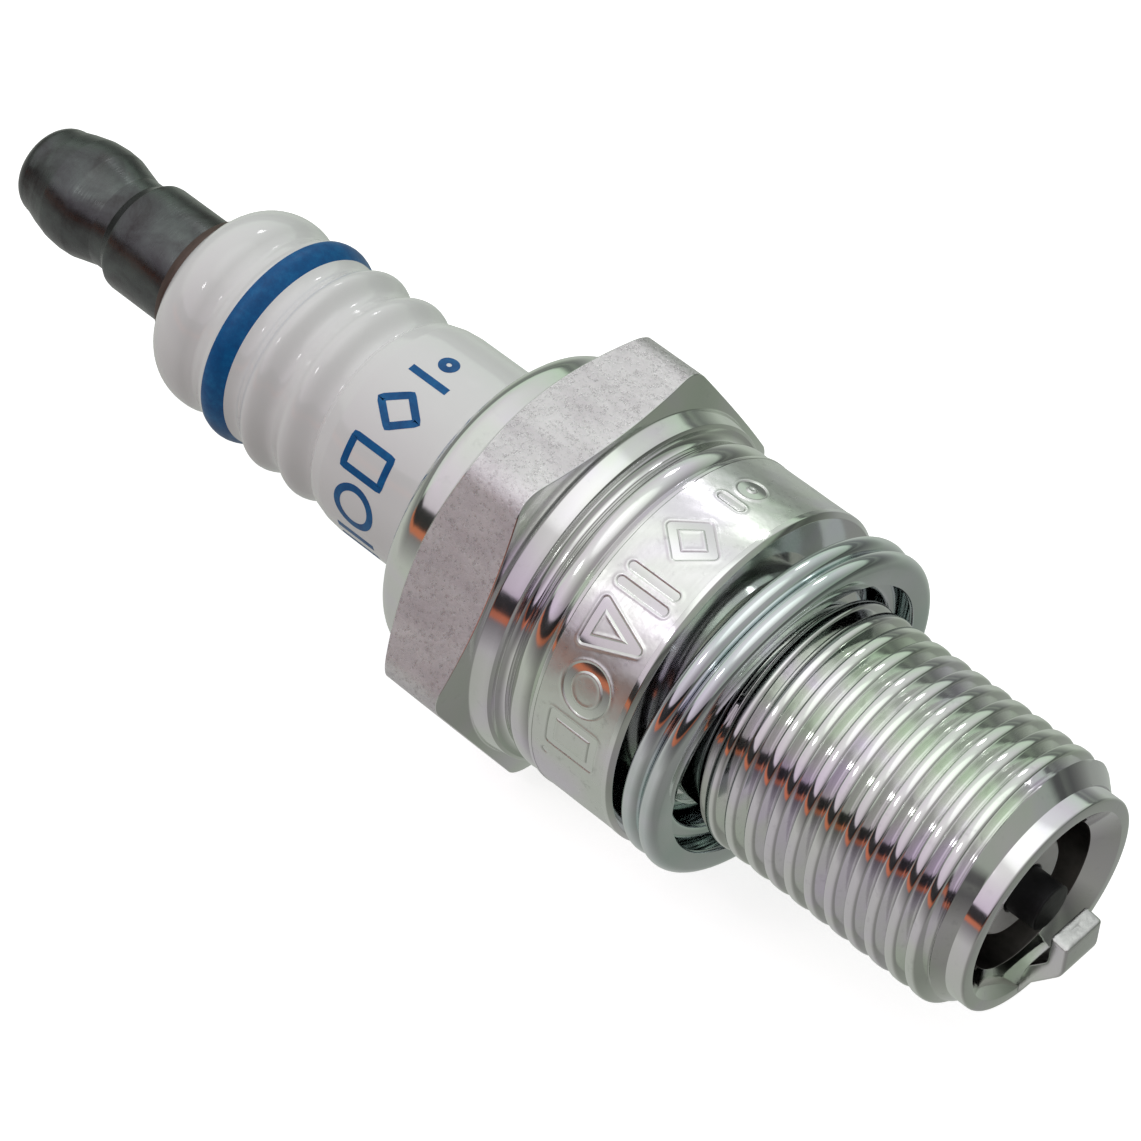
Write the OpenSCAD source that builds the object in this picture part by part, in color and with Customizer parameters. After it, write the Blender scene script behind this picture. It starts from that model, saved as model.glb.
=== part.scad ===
// Spark plug with a 14 mm thread, a 20.8 mm hexagon and a captive folded gasket.
// Units are mm. The plug lies along X: the firing end points to +X, the terminal to -X.
// X = 0 is the shell's gasket seat, and +Z is the outward direction of one hexagon flat.

/* [Thread] */
// Diameter over the thread crests
thread_d = 13.9; // [13.7:0.01:13.96]
// Thread pitch
pitch = 1.25; // [1.25:0.25:1.5]
// Depth of the thread grooves
thread_depth = 0.7; // [0.6:0.01:0.8]
// Width of a crest land
crest_land = 0.5; // [0.15:0.01:0.6]
// Width of a groove floor
root_land = 0.11; // [0.05:0.01:0.2]
// Number of full crests
crests = 11; // [8:1:12]
// X of the first crest's middle
first_crest_x = 3.775; // [3.2:0.005:4.5]
// Distance from the gasket seat to the end of the shell
reach = 19; // [18.5:0.05:19.1]

/* [Shell] */
// Width across the hexagon flats
hex_af = 20.8; // [20.5:0.05:20.8]
// Diameter over the rounded hexagon corners
hex_corner_d = 23.5; // [22.8:0.1:24]
// X of the hexagon's front face
hex_front_x = -8.95; // [-10:0.05:-8]
// X of the hexagon's back face
hex_back_x = -13.6; // [-15:0.05:-12]
// Diameter of the stamped flange
flange_d = 19.1; // [18:0.1:20]
// Length of the stamped flange
flange_len = 5.35; // [4:0.05:6]
// Diameter of the undercut neck below the seat
neck_d = 12.1; // [11.5:0.1:12.4]
// Diameter of the rounded bead between hexagon and flange
bead_d = 18.9; // [18:0.1:19.1]
// Diameter of the plain ring at the mouth
mouth_d = 12; // [11.6:0.1:12.4]
// Bore diameter at the mouth
mouth_bore_d = 8.3; // [7.8:0.1:9]
// Diameter of the mouth's countersink
countersink_d = 10.6; // [9.5:0.1:11]
// Bore diameter inside the thread
mid_bore_d = 9.5; // [9.2:0.1:10]
// Bore diameter inside the hexagon
hex_bore_d = 15; // [14:0.1:15.4]
// Outer diameter of the rolled collar
collar_d = 17.9; // [17:0.1:18.2]
// X of the rolled collar's end
collar_x = -16.6; // [-17:0.05:-16]

/* [Insulator] */
// Barrel diameter
barrel_d = 12; // [11.6:0.1:12.2]
// Rib diameter
rib_d = 11.85; // [11.4:0.05:12]
// Depth of the grooves between the ribs
rib_groove = 0.5; // [0.3:0.05:0.8]
// X of the terminal end face
insulator_end_x = -37.1; // [-39:0.1:-36]
// X of the nose tip
nose_x = 17.5; // [16:0.1:18]
// Diameter of the nose at its tip
nose_d = 5.4; // [5:0.1:6]
// Diameter of the widest hidden shoulder
shoulder_d = 14.6; // [13.6:0.1:14.8]
// Bore for the terminal stem, seals and resistor
stem_bore_d = 4; // [3.6:0.1:4.4]
// Bore for the centre electrode
electrode_bore_d = 2.56; // [2.5:0.01:2.7]

/* [Terminal] */
// X of the terminal's tip
tip_x = -50.5; // [-51:0.1:-50]
// Diameter of the head's widest band
head_d = 6.35; // [6.2:0.01:6.4]
// Diameter of the waist
waist_d = 5.4; // [5.2:0.05:5.6]
// Diameter of the base washer
washer_d = 7.5; // [7:0.1:7.8]

/* [Electrodes] */
// Centre electrode diameter
electrode_d = 2.5; // [2:0.05:2.6]
// Height of the centre electrode above the nose
electrode_out = 1.7; // [1.2:0.1:2.2]
// Spark gap
spark_gap = 1.0; // [0.6:0.05:1.1]
// Ground electrode width
ground_w = 2.6; // [2.2:0.1:2.8]
// Ground electrode thickness
ground_t = 1.0; // [0.9:0.05:1.6]
// Outside bend radius of the ground electrode
ground_bend = 1.6; // [1.4:0.1:2.4]
// Z of the ground electrode's cut end
ground_end_z = -0.3; // [-1:0.1:1]
// Y of the ground electrode's middle
ground_y = 0.1; // [-0.4:0.1:0.4]
// Z of the outer side of the ground electrode's foot
ground_foot_z = -5.75; // [-5.85:0.05:-5.6]
// Angle between the ground electrode's leg and the plug's axis
ground_leg_angle = 52; // [45:1:60]
// Z of the middle of the ground electrode's bend
ground_bend_z = -1.75; // [-2.2:0.05:-1.2]

/* [Gasket] */
// X of the gasket's middle on the plug's axis
gasket_x = 2.15; // [1.9:0.05:2.3]
// Outer diameter
gasket_d = 19.2; // [18.8:0.1:19.6]
// Sheet thickness
sheet_t = 0.32; // [0.25:0.01:0.4]
// Radius of each outer fold
fold_r = 0.58; // [0.5:0.01:0.65]
// Diameter of the back leaf's hole
back_hole_d = 13.2; // [13:0.1:13.6]
// Diameter of the front leaf's opening
front_hole_d = 16.2; // [15:0.1:17]
// Lean of the loose gasket towards -Y
gasket_lean_y = 2.85; // [0:0.05:3.2]
// Lean of the loose gasket towards -Z
gasket_lean_z = 3.15; // [0:0.05:3.4]

/* [Hidden] */
crest_r = thread_d / 2;
root_r = crest_r - thread_depth;
flank = (pitch - crest_land - root_land) / 2;
neck_r = neck_d / 2;
last_crest_x = first_crest_x + (crests - 1) * pitch;
mouth_r = mouth_d / 2;
runout_x = reach - 1.1;
taper_x = runout_x - (crest_r - mouth_r);
half_af = hex_af / 2;
corner_r = hex_corner_d / 2;
ring_x = hex_front_x + 1.15;
flange_r = flange_d / 2;
flange_back_x = -flange_len;
bead_r = bead_d / 2;
bead_w = 0.78;
bead_x = flange_back_x - bead_w - 0.14;
groove_r = 9.1;
collar_r = collar_d / 2;
collar_round = 1.4;
lip_r = barrel_d / 2 + 0.12;
hex_bore_r = hex_bore_d / 2;
mid_bore_r = mid_bore_d / 2;
mouth_bore_r = mouth_bore_d / 2;
ledge_x = 8.6;
ledge_len = mid_bore_r - mouth_bore_r;
shoulder_r = shoulder_d / 2;
shoulder_x0 = -9.4;
shoulder_x1 = -5.6;
body_r = mid_bore_r - 0.12;
barrel_r = barrel_d / 2;
rib_r = rib_d / 2;
stem_r = stem_bore_d / 2;
wire_r = 0.62;
ring_gap_r = (hex_bore_r + barrel_r) / 2;
electrode_r = electrode_d / 2;
electrode_top_x = nose_x + electrode_out;
head_r = head_d / 2;
waist_r = waist_d / 2;
ground_x0 = electrode_top_x + spark_gap;
ground_x1 = ground_x0 + ground_t;
stem_end_x = -10;
resistor_x0 = -7.5;
resistor_x1 = 0.4;
electrode_head_x = 2.0;
step_x = 4.0;
core_r = 0.8;
core_x0 = 3.2;
core_x1 = 16.8;
shear = 0.12;
eps = 0.01;
$fn = 96;

// A profile given as [radius, x] points, turned about the X axis
module turned(points) {
    rotate([0, 90, 0]) rotate_extrude() polygon(points);
}

// A solid rod or tube between two stations
module tube(x0, x1, r_out, r_in = 0) {
    turned([[r_in, x0], [r_out, x0], [r_out, x1], [r_in, x1]]);
}

// Quarter arc from angle a0 to a1 about [cr, cx], with radii rr along r and rx along x
function arc(cr, cx, rr, rx, a0, a1, n = 6) =
    [for (i = [0 : n]) let (a = a0 + (a1 - a0) * i / n) [cr + rr * cos(a), cx + rx * sin(a)]];

// One rounded rib between x0 and x1, highest in the middle
function rib(x0, x1, r, g, n = 8) =
    [for (i = [0 : n]) let (t = -1 + 2 * i / n) [r - g * (1 - cos(180 * t)) / 2, (x0 + x1) / 2 + t * (x1 - x0) / 2]];

module terminal_stud() {
    color([0.37, 0.38, 0.39])
    turned(concat(
        [[0, tip_x], [1.1, tip_x]],
        arc(1.3, tip_x + 1.25, 1.28, 1.2, -80, 0, 6),
        [[2.86, tip_x + 2.1], [head_r - 0.05, tip_x + 3.2],
         [head_r, tip_x + 3.5], [head_r, tip_x + 4.5], [head_r - 0.12, tip_x + 5.1],
         [waist_r + 0.12, tip_x + 6.1], [waist_r, tip_x + 6.5], [waist_r, tip_x + 7.35],
         [head_r, tip_x + 8.05], [head_r, insulator_end_x - 1],
         [washer_d / 2 - 0.1, insulator_end_x - 0.95], [washer_d / 2, insulator_end_x - 0.8],
         [washer_d / 2, insulator_end_x], [stem_r - 0.02, insulator_end_x],
         [stem_r - 0.02, stem_end_x - 0.6], [stem_r - 0.5, stem_end_x], [0, stem_end_x]]));
}

// Ribs, from the terminal end: the first rib rises from a rounded end
rib_edges = [-33.4, -30.1, -27.6, -24.6];
end_round_x = -34.7;

module insulator() {
    color([0.93, 0.94, 0.93])
    difference() {
        turned(concat(
            [[0, insulator_end_x], [3.72, insulator_end_x]],
            arc(3.75, end_round_x, rib_r - 0.2 - 3.75, end_round_x - insulator_end_x, -85, 0, 8),
            [[rib_r - 0.22, -34.3], [rib_r - 0.32, -33.9]],
            rib(rib_edges[0], rib_edges[1], rib_r, rib_groove),
            rib(rib_edges[1], rib_edges[2], rib_r + 0.02, rib_groove),
            rib(rib_edges[2], rib_edges[3], rib_r, rib_groove),
            [[barrel_r - 0.3, -24.2], [barrel_r - 0.08, -23.4], [barrel_r, -22.8],
             [barrel_r, shoulder_x0 - 1.3], [shoulder_r, shoulder_x0],
             [shoulder_r, shoulder_x1], [body_r, shoulder_x1 + 2.2], [body_r, ledge_x - 1.3],
             [body_r - 1.0, ledge_x - 0.2], [nose_d / 2 + 0.7, ledge_x + 0.4],
             [nose_d / 2 + 0.02, nose_x - 0.35]],
            arc(nose_d / 2 - 0.35, nose_x - 0.35, 0.35, 0.35, 0, 90, 4),
            [[0, nose_x]]));
        tube(insulator_end_x - 1, step_x - 0.8, stem_r);
        turned([[0, step_x - 0.8 - eps], [stem_r, step_x - 0.8 - eps],
                [electrode_bore_d / 2, step_x], [0, step_x]]);
        tube(step_x - eps, nose_x + 1, electrode_bore_d / 2);
    }
}

module upper_glass_seal() {
    color([0.25, 0.24, 0.24])
    turned([[0, stem_end_x], [stem_r - 0.5, stem_end_x], [stem_r - 0.02, stem_end_x - 0.6],
            [stem_r, stem_end_x - 0.6], [stem_r, resistor_x0], [0, resistor_x0]]);
}

module resistor() {
    color([0.35, 0.27, 0.22]) tube(resistor_x0, resistor_x1, stem_r);
}

module lower_glass_seal() {
    color([0.25, 0.24, 0.24]) tube(resistor_x1, electrode_head_x, stem_r);
}

module centre_electrode() {
    color([0.16, 0.16, 0.17])
    difference() {
        turned([[0, electrode_head_x], [stem_r - 0.03, electrode_head_x],
                [stem_r - 0.03, step_x - 0.83], [electrode_r, step_x - 0.05],
                [electrode_r, electrode_top_x - 0.06], [electrode_r - 0.06, electrode_top_x],
                [0, electrode_top_x]]);
        tube(core_x0, core_x1, core_r);
    }
}

module centre_electrode_core() {
    color([0.72, 0.45, 0.3]) tube(core_x0, core_x1, core_r);
}

// Points of the thread from the neck to the mouth, with ring grooves at the pitch
function thread_points() = concat(
    [[root_r, first_crest_x - crest_land / 2 - flank]],
    [for (k = [0 : crests - 1], s = [0 : 3])
        let (x = first_crest_x + k * pitch)
        s == 0 ? [crest_r, x - crest_land / 2] :
        s == 1 ? [crest_r, x + crest_land / 2] :
        s == 2 ? [root_r, x + crest_land / 2 + flank] :
                 [root_r, x + crest_land / 2 + flank + root_land]]);

// Hexagonal prism with two flats facing up and down, cut by the end chamfers
module hexagon() {
    intersection() {
        rotate([0, 90, 0])
        translate([0, 0, hex_back_x - 1]) linear_extrude(hex_front_x - hex_back_x + 2)
        rotate(30) circle(r = half_af / cos(30), $fn = 6);
        turned([[0, hex_back_x - 0.25], [half_af - 0.45, hex_back_x - 0.25],
                [corner_r, hex_back_x + 0.78], [corner_r, hex_front_x - 0.38],
                [half_af, hex_front_x], [half_af - 0.35, hex_front_x + 0.3], [0, hex_front_x + 0.3]]);
    }
}

module shell() {
    color([0.75, 0.76, 0.74])
    difference() {
        union() {
            turned(concat(
                [[0, collar_x], [collar_r - collar_round + 0.05, collar_x]],
                arc(collar_r - collar_round, collar_x + 1.35, collar_round, 1.35, -75, 0, 5),
                [[collar_r + 0.05, hex_back_x - 0.25], [half_af - 0.6, hex_back_x + 0.1],
                 [half_af - 0.6, hex_front_x + 0.2], [9.95, hex_front_x + 0.62],
                 [9.78, ring_x], [9.55, ring_x + 0.12]],
                arc(9.62, ring_x + 0.5, -0.55, 0.45, -80, 30, 6),
                arc(bead_r - 0.5, bead_x, 0.5, bead_w, -70, 70, 6),
                [[groove_r + 0.05, flange_back_x - 0.05], [flange_r - 0.12, flange_back_x],
                 [flange_r, flange_back_x + 0.12], [flange_r, -0.3], [flange_r - 0.3, 0],
                 [neck_r + 0.35, 0], [neck_r, 0.35],
                 [neck_r, first_crest_x - crest_land / 2 - flank - 0.05]],
                thread_points(),
                [[crest_r - 0.3, taper_x + 0.3], [mouth_r, runout_x], [mouth_r, reach - 0.2],
                 [mouth_r - 0.15, reach], [0, reach]]));
            hexagon();
        }
        // bore under the rolled collar, hexagon bore, mid bore, nose bore and countersink
        tube(collar_x - 1, collar_x + 1.2, lip_r);
        turned([[0, collar_x + 1.2 - eps], [lip_r, collar_x + 1.2 - eps],
                [hex_bore_r, collar_x + 1.9], [hex_bore_r, shoulder_x1],
                [mid_bore_r, shoulder_x1 + 2.4], [mid_bore_r, ledge_x],
                [mouth_bore_r, ledge_x + ledge_len], [mouth_bore_r, reach - 0.9],
                [countersink_d / 2, reach], [countersink_d / 2, reach + 1], [0, reach + 1]]);
    }
}

// A wire ring between the barrel and the shell
module wire_ring(x) {
    rotate([0, 90, 0]) rotate_extrude() translate([ring_gap_r, x]) circle(r = wire_r);
}

ring_low_x = shoulder_x0 - 1.45;
ring_high_x = collar_x + 2.65;

module upper_packing_ring() { color([0.55, 0.55, 0.55]) wire_ring(ring_high_x); }

module lower_packing_ring() { color([0.55, 0.55, 0.55]) wire_ring(ring_low_x); }

module talc_filling() {
    color([0.85, 0.84, 0.8])
    difference() {
        tube(ring_high_x, ring_low_x, hex_bore_r - 0.01, barrel_r + 0.01);
        wire_ring(ring_high_x);
        wire_ring(ring_low_x);
    }
}

module inner_gasket() {
    color([0.6, 0.6, 0.58])
    turned([[body_r - 0.75, ledge_x - 0.28], [body_r + 0.02, ledge_x - 1.05],
            [mid_bore_r - 0.01, ledge_x - 0.75], [mid_bore_r - 0.01, ledge_x - 0.02],
            [mid_bore_r - 0.5, ledge_x + 0.42]]);
}

// Section of the folded gasket, as [radius, x] shapes about its middle
module gasket_section() {
    fold_cr = gasket_d / 2 - fold_r;
    in_r = fold_r - sheet_t;
    for (s = [-1, 1])
        intersection() {
            difference() {
                translate([fold_cr, s * fold_r]) circle(r = fold_r);
                translate([fold_cr, s * fold_r]) circle(r = in_r);
            }
            translate([fold_cr - 0.001, -2 * fold_r]) square([2 * fold_r, 4 * fold_r]);
        }
    translate([back_hole_d / 2, -2 * fold_r]) square([fold_cr - back_hole_d / 2, sheet_t]);
    translate([front_hole_d / 2 - 0.7, -sheet_t]) square([fold_cr - front_hole_d / 2 + 0.7, 2 * sheet_t]);
    translate([front_hole_d / 2, 2 * fold_r - sheet_t]) square([fold_cr - front_hole_d / 2, sheet_t]);
}

gasket_lean = atan(sqrt(pow(tan(gasket_lean_y), 2) + pow(tan(gasket_lean_z), 2)));

module gasket() {
    color([0.72, 0.75, 0.74])
    translate([gasket_x, 0, 0])
    rotate(a = gasket_lean, v = [0, tan(gasket_lean_z), -tan(gasket_lean_y)])
    rotate([0, 90, 0]) rotate_extrude() gasket_section();
}

// Side view of the ground electrode as [x, z]: a leg leaning in from the rim, then a bend to the tip
module ground_section() {
    bend_x = ground_x1 - ground_bend;
    lean = ground_leg_angle;
    in_bend = ground_bend - ground_t;
    in_x = bend_x + in_bend * sin(lean);
    in_z = ground_bend_z - in_bend * cos(lean);
    out_x = bend_x + ground_bend * sin(lean);
    out_z = ground_bend_z - ground_bend * cos(lean);
    foot = 0.35;
    polygon(concat(
        [[reach, ground_foot_z], [reach + foot, out_z - (out_x - reach - foot) * tan(lean)]],
        [for (i = [0 : 6]) let (a = (lean - 90) * (1 - i / 6))
            [bend_x + ground_bend * cos(a), ground_bend_z + ground_bend * sin(a)]],
        [[ground_x1, ground_end_z - shear], [ground_x0, ground_end_z + shear]],
        [for (i = [0 : 6]) let (a = (lean - 90) * i / 6)
            [bend_x + in_bend * cos(a), ground_bend_z + in_bend * sin(a)]],
        [[reach + foot, in_z - (in_x - reach - foot) * tan(lean)], [reach, ground_foot_z + 1.4]]));
}

module ground_electrode() {
    color([0.7, 0.71, 0.7])
    translate([0, ground_y + ground_w / 2, 0])
    rotate([90, 0, 0]) linear_extrude(ground_w) ground_section();
}

terminal_stud();
insulator();
upper_glass_seal();
resistor();
lower_glass_seal();
centre_electrode();
centre_electrode_core();
shell();
upper_packing_ring();
talc_filling();
lower_packing_ring();
inner_gasket();
gasket();
ground_electrode();
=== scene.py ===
import math
import bpy
import numpy as np
from mathutils import Matrix, Vector


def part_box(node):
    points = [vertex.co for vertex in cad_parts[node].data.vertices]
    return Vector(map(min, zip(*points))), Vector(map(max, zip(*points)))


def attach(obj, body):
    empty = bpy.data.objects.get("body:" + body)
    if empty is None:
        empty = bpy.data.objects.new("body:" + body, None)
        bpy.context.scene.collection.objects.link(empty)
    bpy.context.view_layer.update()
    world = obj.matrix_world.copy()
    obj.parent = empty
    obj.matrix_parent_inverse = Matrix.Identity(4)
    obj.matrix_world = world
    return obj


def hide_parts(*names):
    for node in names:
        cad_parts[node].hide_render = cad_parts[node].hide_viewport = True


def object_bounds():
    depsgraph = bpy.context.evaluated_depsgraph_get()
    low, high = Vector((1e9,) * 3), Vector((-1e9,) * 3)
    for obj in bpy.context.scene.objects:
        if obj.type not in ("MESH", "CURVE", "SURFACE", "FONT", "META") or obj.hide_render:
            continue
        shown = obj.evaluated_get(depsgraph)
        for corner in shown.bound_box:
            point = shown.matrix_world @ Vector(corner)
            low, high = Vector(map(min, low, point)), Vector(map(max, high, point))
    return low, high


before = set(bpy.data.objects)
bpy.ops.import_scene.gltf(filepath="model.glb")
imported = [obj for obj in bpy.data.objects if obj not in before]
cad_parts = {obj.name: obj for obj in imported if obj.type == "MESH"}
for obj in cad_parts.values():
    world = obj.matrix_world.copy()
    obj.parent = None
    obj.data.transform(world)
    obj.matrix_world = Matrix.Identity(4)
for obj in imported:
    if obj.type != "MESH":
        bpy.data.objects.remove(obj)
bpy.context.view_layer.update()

MM = 0.001


def box_mm(node):
    lo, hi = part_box(node)
    return np.array(lo) / MM, np.array(hi) / MM


# ---------------------------------------------------------------- main sizes, mm
TIP_X = box_mm("terminal_stud")[0][0]
WASHER_R = box_mm("terminal_stud")[1][1]
INS_END_X = box_mm("insulator")[0][0]
NOSE_X = box_mm("insulator")[1][0]
COLLAR_X = box_mm("shell")[0][0]
REACH = box_mm("shell")[1][0]
HALF_AF = box_mm("shell")[1][2]
CE_TOP_X = box_mm("centre_electrode")[1][0]
GE_LO, GE_HI = box_mm("ground_electrode")

PITCH = 1.25
CREST_R = 6.95
ROOT_R = 6.18
GROOVE_X0 = 0.26          # groove middle at angle 0 is here plus whole pitches
THREAD_IN_X = 2.72        # the lead-in cone leaves the neck here
TAPER_X = REACH - 2.05    # the run-out cone starts here
MOUTH_R = 6.0
NECK_R = 6.05
FLANGE_R = 9.55
FLANGE_BACK = -5.35
HEX_FRONT = -8.95
HEX_BACK = -13.6
HEX_CORNER = 1.7
COLLAR_R = 8.95
BARREL_R = 6.0
RIB_R = 5.925
CE_R = 1.25
HEAD_R = 3.175
WAIST_R = 2.7
STEM_R = 1.98
MOUTH_BORE_R = 4.15
NOSE_BORE_R = 4.75
HEX_BORE_R = 7.5
HEX_FACE_R = 9.95         # the hexagon's end chamfers start here
RING_R = 9.62
TWO_PI = 2 * math.pi


# ---------------------------------------------------------------- mesh helpers
def columns(n, extra=()):
    """Angles round the axis: n even ones, and extra stretches given as (from, to, count)."""
    t = np.linspace(0, 2 * math.pi, n, endpoint=False)
    for a, b, m in extra:
        t = np.concatenate([t, np.linspace(a, b, m)])
    t = np.unique(np.round(np.mod(t, 2 * math.pi), 7))
    keep = np.ones(len(t), bool)
    keep[1:] = np.diff(t) > 1e-4
    return t[keep]


def corner(a, p, b, rad, n=4):
    """Rows of a rounded corner at p between a and b; each of them is a row of (x, r) arrays."""
    u, v = a - p, b - p
    lu, lv = np.hypot(*u), np.hypot(*v)
    u, v = u / lu, v / lv
    cosf = np.clip((u * v).sum(0), -0.9999, 0.9999)
    half = np.arccos(cosf) / 2
    t = np.minimum(rad / np.tan(half), 0.45 * np.minimum(lu, lv))
    out = []
    for i in range(n + 1):
        s = i / n
        q = (1 - s) ** 2 * (p + u * t) + 2 * s * (1 - s) * p + s ** 2 * (p + v * t)
        out.append(q)
    return out


def rows_of(points, cols, closed=False):
    """Rows of a turned surface from (x, r) or (x, r, fillet) points; x and r may vary with angle.

    Returns the rows and, for each row, the index of the point that it comes from.
    """
    pts = [np.array([np.broadcast_to(c, len(cols)) for c in q[:2]], float) for q in points]
    rows, tags = [], []
    n = len(pts)
    for i, q in enumerate(points):
        if len(q) > 2 and (closed or 0 < i < n - 1):
            part = corner(pts[i - 1], pts[i], pts[(i + 1) % n], q[2])
        else:
            part = [pts[i]]
        rows += part
        tags += [i] * len(part)
    return rows, tags


def make_mesh(name, verts, faces, mat_ids, mats, sharp=38):
    me = bpy.data.meshes.new(name)
    me.from_pydata((np.asarray(verts) * MM).tolist(), [], faces)
    for m in mats:
        me.materials.append(m)
    me.polygons.foreach_set("material_index", np.asarray(mat_ids, dtype=np.int32))
    me.polygons.foreach_set("use_smooth", np.ones(len(faces), dtype=bool))
    me.update()
    me.set_sharp_from_angle(angle=math.radians(sharp))
    me.validate()
    ob = bpy.data.objects.new(name, me)
    bpy.context.scene.collection.objects.link(ob)
    return ob


def turned(name, rows, cols, mats, mat_of=None, closed=False, tilt=None, sharp=38):
    """A turned solid about X. rows hold (x, r) arrays; a row of radius 0 becomes one point."""
    verts, first, single = [], [], []
    cy, cz = np.cos(cols), np.sin(cols)
    n = len(cols)
    for row in rows:
        x = np.broadcast_to(row[0], n)
        r = np.broadcast_to(row[1], n)
        first.append(len(verts))
        if float(np.max(r)) < 1e-6:
            verts.append((float(x[0]), 0.0, 0.0))
            single.append(True)
        else:
            verts.extend(np.stack([x, r * cy, r * cz], 1).tolist())
            single.append(False)
    faces, ids = [], []
    m = len(rows)
    for i in range(m if closed else m - 1):
        j = (i + 1) % m
        a, b = first[i], first[j]
        k = mat_of(i) if mat_of else 0
        for c in range(n):
            d = (c + 1) % n
            if single[i]:
                faces.append((a, b + d, b + c))
            elif single[j]:
                faces.append((a + c, a + d, b))
            else:
                faces.append((a + c, a + d, b + d, b + c))
            ids.append(k)
    v = np.array(verts)
    if tilt is not None:
        v = v @ np.array(tilt[0]).T + np.array(tilt[1])
    return make_mesh(name, v, faces, ids, mats, sharp)


def done(ob, body, slot, *nodes):
    """Put a finished piece on its body, in place of its CAD nodes."""
    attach(ob, body)
    if nodes:
        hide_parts(*nodes)


# ---------------------------------------------------------------- materials
class Nodes:
    """A material with one Principled shader, and short calls for the nodes that feed it."""

    def __init__(self, name):
        self.mat = bpy.data.materials.new(name)
        self.mat.use_nodes = True
        self.nt = self.mat.node_tree
        self.nt.nodes.clear()
        self.out = self.nt.nodes.new("ShaderNodeOutputMaterial")
        self.bsdf = self.nt.nodes.new("ShaderNodeBsdfPrincipled")
        self.link(self.bsdf.outputs[0], self.out.inputs["Surface"])
        self.co = self.nt.nodes.new("ShaderNodeTexCoord").outputs["Object"]

    def link(self, a, b):
        self.nt.links.new(a, b)

    def set(self, **kw):
        for k, v in kw.items():
            s = self.bsdf.inputs[k.replace("_", " ")]
            if isinstance(v, bpy.types.NodeSocket):
                self.link(v, s)
            elif isinstance(v, tuple):
                s.default_value = (*v, 1.0) if len(v) == 3 else v
            else:
                s.default_value = v

    def scaled(self, sx, sy, sz):
        m = self.nt.nodes.new("ShaderNodeMapping")
        m.inputs["Scale"].default_value = (sx, sy, sz)
        self.link(self.co, m.inputs["Vector"])
        return m.outputs[0]

    def noise(self, scale, detail=3.0, vec=None, rough=0.5, distort=0.0):
        n = self.nt.nodes.new("ShaderNodeTexNoise")
        n.inputs["Scale"].default_value = scale
        n.inputs["Detail"].default_value = detail
        n.inputs["Roughness"].default_value = rough
        n.inputs["Distortion"].default_value = distort
        self.link(vec or self.co, n.inputs["Vector"])
        return n.outputs["Fac"]

    def ramp(self, fac, *stops):
        n = self.nt.nodes.new("ShaderNodeValToRGB")
        cr = n.color_ramp
        while len(cr.elements) < len(stops):
            cr.elements.new(0.5)
        for e, (p, c) in zip(cr.elements, stops):
            e.position = p
            e.color = (*c, 1.0) if isinstance(c, tuple) else (c, c, c, 1.0)
        self.link(fac, n.inputs["Fac"])
        return n.outputs["Color"]

    def vary(self, fac, span, low):
        """Roughness that runs from low to low + span with fac."""
        n = self.nt.nodes.new("ShaderNodeMath")
        n.operation = "MULTIPLY_ADD"
        self.link(fac, n.inputs[0])
        n.inputs[1].default_value = span
        n.inputs[2].default_value = low
        return n.outputs[0]

    def multiply(self, fac, a, b):
        n = self.nt.nodes.new("ShaderNodeMix")
        n.data_type = "RGBA"
        n.blend_type = "MULTIPLY"
        n.inputs[0].default_value = fac
        self.link(a, n.inputs[6])
        self.link(b, n.inputs[7])
        return n.outputs[2]

    def bump(self, height, strength, dist, base=None):
        n = self.nt.nodes.new("ShaderNodeBump")
        n.inputs["Strength"].default_value = strength
        n.inputs["Distance"].default_value = dist
        self.link(height, n.inputs["Height"])
        if base is not None:
            self.link(base, n.inputs["Normal"])
        return n.outputs[0]


def zinc(name, rough, marks=0.1, film=330.0, base=(0.79, 0.80, 0.78), green=(0.75, 0.80, 0.73),
         lilac=(0.80, 0.77, 0.83), speck=0.35, vary=0.08):
    """Bright zinc plate with a thin passivation film."""
    s = Nodes(name)
    cloud = s.noise(190, 2.0, distort=0.8)
    colour = s.ramp(cloud, (0.34, green), (0.5, base), (0.66, lilac))
    fine = s.noise(2600, 4.0)
    spots = s.ramp(s.noise(1500, 5.0, rough=0.7), (0.28, 0.55), (0.42, 1.0))
    dull = s.multiply(speck, colour, spots)
    turn = s.noise(60, 3.0, vec=s.scaled(60, 1, 1))
    s.set(Base_Color=dull, Metallic=1.0, Roughness=s.vary(fine, vary, rough - vary / 2),
          Normal=s.bump(turn, 0.25 * marks, 0.00005, s.bump(fine, marks, 0.00002)))
    s.bsdf.inputs["Thin Film Thickness"].default_value = film
    s.bsdf.inputs["Thin Film IOR"].default_value = 1.45
    return s.mat


def flat_face():
    """Drawn hexagon flat: grainy, with sparkle and faint scratches along the bar."""
    s = Nodes("hex_flat")
    grain = s.noise(3600, 6.0, rough=0.8)
    cloud = s.noise(260, 4.0, vec=s.scaled(1, 2.5, 2.5), rough=0.6)
    lines = s.noise(900, 4.0, vec=s.scaled(0.25, 1, 1), rough=0.7)
    pits = s.ramp(grain, (0.32, 0.45), (0.52, 1.0))
    tone = s.ramp(cloud, (0.3, (0.72, 0.68, 0.71)), (0.7, (0.93, 0.91, 0.92)))
    s.set(Base_Color=s.multiply(0.6, tone, pits), Metallic=1.0, Roughness=s.vary(grain, 0.35, 0.12),
          Normal=s.bump(lines, 0.3, 0.00004, s.bump(grain, 0.9, 0.00006)))
    return s.mat


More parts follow.
